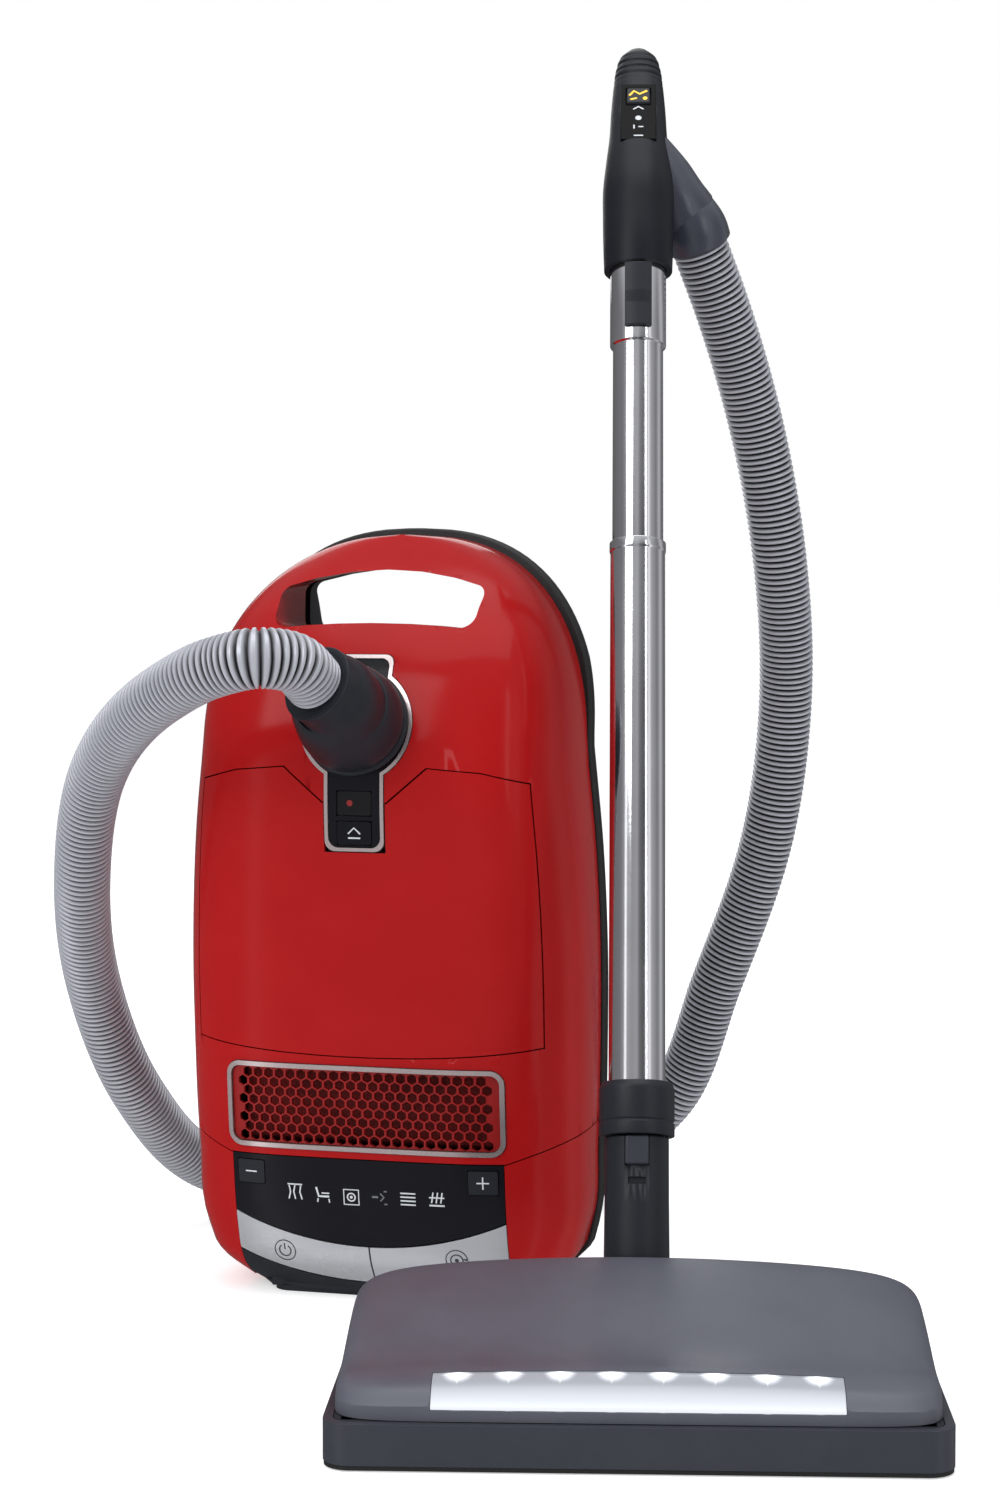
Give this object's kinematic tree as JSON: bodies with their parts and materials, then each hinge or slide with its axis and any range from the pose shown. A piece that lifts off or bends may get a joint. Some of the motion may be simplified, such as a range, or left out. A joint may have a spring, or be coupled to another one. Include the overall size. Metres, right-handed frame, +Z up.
{
  "type": "canister vacuum cleaner",
  "caption": "Canister vacuum cleaner parked upright, with a coiled-round suction hose, a telescopic wand and a wide motorised floor head with a lamp strip.",
  "frame": {"origin": "on the floor, under the middle of the foot that the parked canister stands on", "axes": "+Z up, -Y out of the canister's top face, towards the floor head's side; +X to the canister's right as seen from the front"},
  "size_m": [0.6705, 0.7223, 0.8641],
  "materials": {
    "red_casing": "high gloss",
    "grille_red": "gloss",
    "dark_plastic": "satin",
    "head_plastic": "satin",
    "control_black": "gloss",
    "silver_plastic": "metallic paint",
    "chrome_tube": "polished",
    "hose_grey": "ribbed, satin",
    "rubber": "matt",
    "filter_carbon": "carbon felt",
    "bag_cloth": "non-woven",
    "lamp_lens": "clear, lit from behind",
    "board_green": "coated",
    "bristle": "bristles",
    "steel": "brushed",
    "indicator": "gloss"
  },
  "bodies": {
    "canister": {"chassis": "dark_plastic", "upper_shell": "red_casing", "rear_cap": "red_casing", "control_panel": "control_black", "bumper_strip": "rubber", "stand_foot": "dark_plastic", "socket_trim": "silver_plastic", "socket_plate": "control_black", "hose_socket": "dark_plastic", "inlet_duct": "dark_plastic", "bag_indicator": "indicator", "motor_housing": "dark_plastic", "exhaust_filter": "filter_carbon", "cord_outlet": "rubber", "dust_bag": "bag_cloth", "bag_collar": "silver_plastic", "bulkhead": "dark_plastic", "control_board": "board_green", "lid_hinge_pin": "steel", "reel_axle": "steel", "suction_hose": "hose_grey", "head_base": "dark_plastic", "head_bumper": "head_plastic", "head_cover": "head_plastic", "led_lens": "lamp_lens", "led_board": "board_green", "drive_belt": "rubber", "brush_motor": "steel", "neck_cradle": "dark_plastic"},
    "dust_lid": {"dust_lid": "red_casing"},
    "exhaust_cover": {"grille_frame": "silver_plastic", "exhaust_grille": "grille_red"},
    "on_off_pedal": {"on_off_pedal": "silver_plastic"},
    "rewind_pedal": {"rewind_pedal": "silver_plastic"},
    "minus_button": {"minus_button": "dark_plastic"},
    "plus_button": {"plus_button": "dark_plastic"},
    "latch_button": {"latch_button": "control_black"},
    "canister_elbow": {"canister_elbow": "dark_plastic"},
    "fan_rotor": {"fan_rotor": "steel"},
    "cord_reel": {"cord_reel": "dark_plastic"},
    "brush_roller": {"brush_roller": "bristle"},
    "motor_pulley": {"motor_pulley": "steel"},
    "head_wheel_left": {"head_wheel_left": "rubber"},
    "head_wheel_right": {"head_wheel_right": "rubber"},
    "wand": {"neck": "dark_plastic", "wand_collar": "dark_plastic", "lower_tube": "chrome_tube"},
    "wand_latch": {"wand_latch": "head_plastic"},
    "upper_wand": {"upper_tube": "chrome_tube", "handle_body": "dark_plastic", "handle_panel": "control_black"},
    "length_slider": {"length_slider": "dark_plastic"},
    "handle_rocker": {"handle_rocker": "dark_plastic"},
    "handle_elbow": {"handle_elbow": "head_plastic"},
    "caster_fork_1": {"caster_fork_1": "dark_plastic"},
    "caster_wheel_1": {"caster_wheel_1": "rubber"},
    "caster_fork_2": {"caster_fork_2": "dark_plastic"},
    "caster_wheel_2": {"caster_wheel_2": "rubber"},
    "caster_fork_3": {"caster_fork_3": "dark_plastic"},
    "caster_wheel_3": {"caster_wheel_3": "rubber"}
  },
  "joints": [
    {"name": "lid_hinge", "type": "hinge", "parent": "canister", "child": "dust_lid", "pos_m": [0, -0.10138, 0.172], "axis": [1, 0, 0], "range_deg": [0, 80]},
    {"name": "exhaust_cover_hinge", "type": "hinge", "parent": "canister", "child": "exhaust_cover", "pos_m": [0, -0.09583, 0.1065], "axis": [1, 0, 0], "range_deg": [0, 60]},
    {"name": "on_off_pedal_hinge", "type": "hinge", "parent": "canister", "child": "on_off_pedal", "pos_m": [0, -0.07, 0.0115], "axis": [-1, 0, 0], "range_deg": [0, 4], "stiffness_Nm_per_rad": 2, "springref_deg": -1.15},
    {"name": "rewind_pedal_hinge", "type": "hinge", "parent": "canister", "child": "rewind_pedal", "pos_m": [0, -0.07, 0.0115], "axis": [-1, 0, 0], "range_deg": [0, 4], "stiffness_Nm_per_rad": 2, "springref_deg": -1.15},
    {"name": "minus_button_press", "type": "slide", "parent": "canister", "child": "minus_button", "axis": [0, 1, 0], "range_m": [0, 0.0015], "stiffness_N_per_m": 400, "springref_m": -0.0005},
    {"name": "plus_button_press", "type": "slide", "parent": "canister", "child": "plus_button", "axis": [0, 1, 0], "range_m": [0, 0.0015], "stiffness_N_per_m": 400, "springref_m": -0.0005},
    {"name": "latch_button_press", "type": "slide", "parent": "canister", "child": "latch_button", "axis": [0, 1, 0], "range_m": [0, 0.002], "stiffness_N_per_m": 500, "springref_m": -0.0005},
    {"name": "canister_elbow_swivel", "type": "hinge", "parent": "canister", "child": "canister_elbow", "pos_m": [0, -0.10747, 0.395], "axis": [0, -0.9397, 0.342], "range_deg": [-35, 35], "deforming": ["suction_hose"]},
    {"name": "caster_swivel_1", "type": "hinge", "parent": "canister", "child": "caster_fork_1", "pos_m": [0, 0.0744, 0.41], "axis": [0, 1, 0], "continuous": true},
    {"name": "caster_roll_1", "type": "hinge", "parent": "caster_fork_1", "child": "caster_wheel_1", "pos_m": [0, 0.098, 0.398], "axis": [1, 0, 0], "continuous": true},
    {"name": "caster_swivel_2", "type": "hinge", "parent": "canister", "child": "caster_fork_2", "pos_m": [-0.085, 0.0744, 0.062], "axis": [0, 1, 0], "continuous": true},
    {"name": "caster_roll_2", "type": "hinge", "parent": "caster_fork_2", "child": "caster_wheel_2", "pos_m": [-0.085, 0.098, 0.05], "axis": [1, 0, 0], "continuous": true},
    {"name": "caster_swivel_3", "type": "hinge", "parent": "canister", "child": "caster_fork_3", "pos_m": [0.085, 0.0744, 0.062], "axis": [0, 1, 0], "continuous": true},
    {"name": "caster_roll_3", "type": "hinge", "parent": "caster_fork_3", "child": "caster_wheel_3", "pos_m": [0.085, 0.098, 0.05], "axis": [1, 0, 0], "continuous": true},
    {"name": "fan_spin", "type": "hinge", "parent": "canister", "child": "fan_rotor", "pos_m": [-0.055, -0.008, 0.09], "axis": [0, 0, 1], "continuous": true},
    {"name": "reel_spin", "type": "hinge", "parent": "canister", "child": "cord_reel", "pos_m": [0.064, 0, 0.085], "axis": [0, 1, 0], "continuous": true},
    {"name": "brush_spin", "type": "hinge", "parent": "canister", "child": "brush_roller", "pos_m": [0.24713, -0.36341, 0.0215], "axis": [0.9763, 0.2164, 0], "continuous": true},
    {"name": "motor_pulley_spin", "type": "hinge", "parent": "canister", "child": "motor_pulley", "pos_m": [0.23241, -0.29703, 0.036], "axis": [0.9763, 0.2164, 0], "continuous": true},
    {"name": "head_wheel_left_roll", "type": "hinge", "parent": "canister", "child": "head_wheel_left", "pos_m": [0.1683, -0.20881, 0.0176], "axis": [0.9763, 0.2164, 0], "continuous": true},
    {"name": "head_wheel_right_roll", "type": "hinge", "parent": "canister", "child": "head_wheel_right", "pos_m": [0.25323, -0.18998, 0.0176], "axis": [0.9763, 0.2164, 0], "continuous": true},
    {"name": "wand_tilt", "type": "hinge", "parent": "canister", "child": "wand", "pos_m": [0.21141, -0.20233, 0.042], "axis": [-0.9763, -0.2164, 0], "range_deg": [0, 55], "deforming": ["suction_hose"]},
    {"name": "wand_latch_press", "type": "slide", "parent": "wand", "child": "wand_latch", "axis": [-0.207, 0.9336, -0.2924], "range_m": [0, 0.0015], "stiffness_N_per_m": 500, "springref_m": -0.0005},
    {"name": "wand_length", "type": "slide", "parent": "wand", "child": "upper_wand", "axis": [-0.0633, 0.2854, 0.9563], "range_m": [-0.1, 0.2], "deforming": ["suction_hose"]},
    {"name": "length_slider_pull", "type": "slide", "parent": "upper_wand", "child": "length_slider", "axis": [0.0633, -0.2854, -0.9563], "range_m": [0, 0.008], "stiffness_N_per_m": 300, "springref_m": -0.002},
    {"name": "handle_rocker_press", "type": "hinge", "parent": "upper_wand", "child": "handle_rocker", "pos_m": [0.15761, 0.04037, 0.82194], "axis": [0.9763, 0.2164, 0], "range_deg": [-5, 5], "stiffness_Nm_per_rad": 0.2},
    {"name": "handle_elbow_swivel", "type": "hinge", "parent": "upper_wand", "child": "handle_elbow", "pos_m": [0.1691, 0.03427, 0.76676], "axis": [0.5293, 0.3836, -0.7568], "range_deg": [-25, 25], "deforming": ["suction_hose"]}
  ],
  "couplings": [
    {"joint": "motor_pulley_spin", "follows": "brush_spin", "ratio": 1.4167}
  ]
}
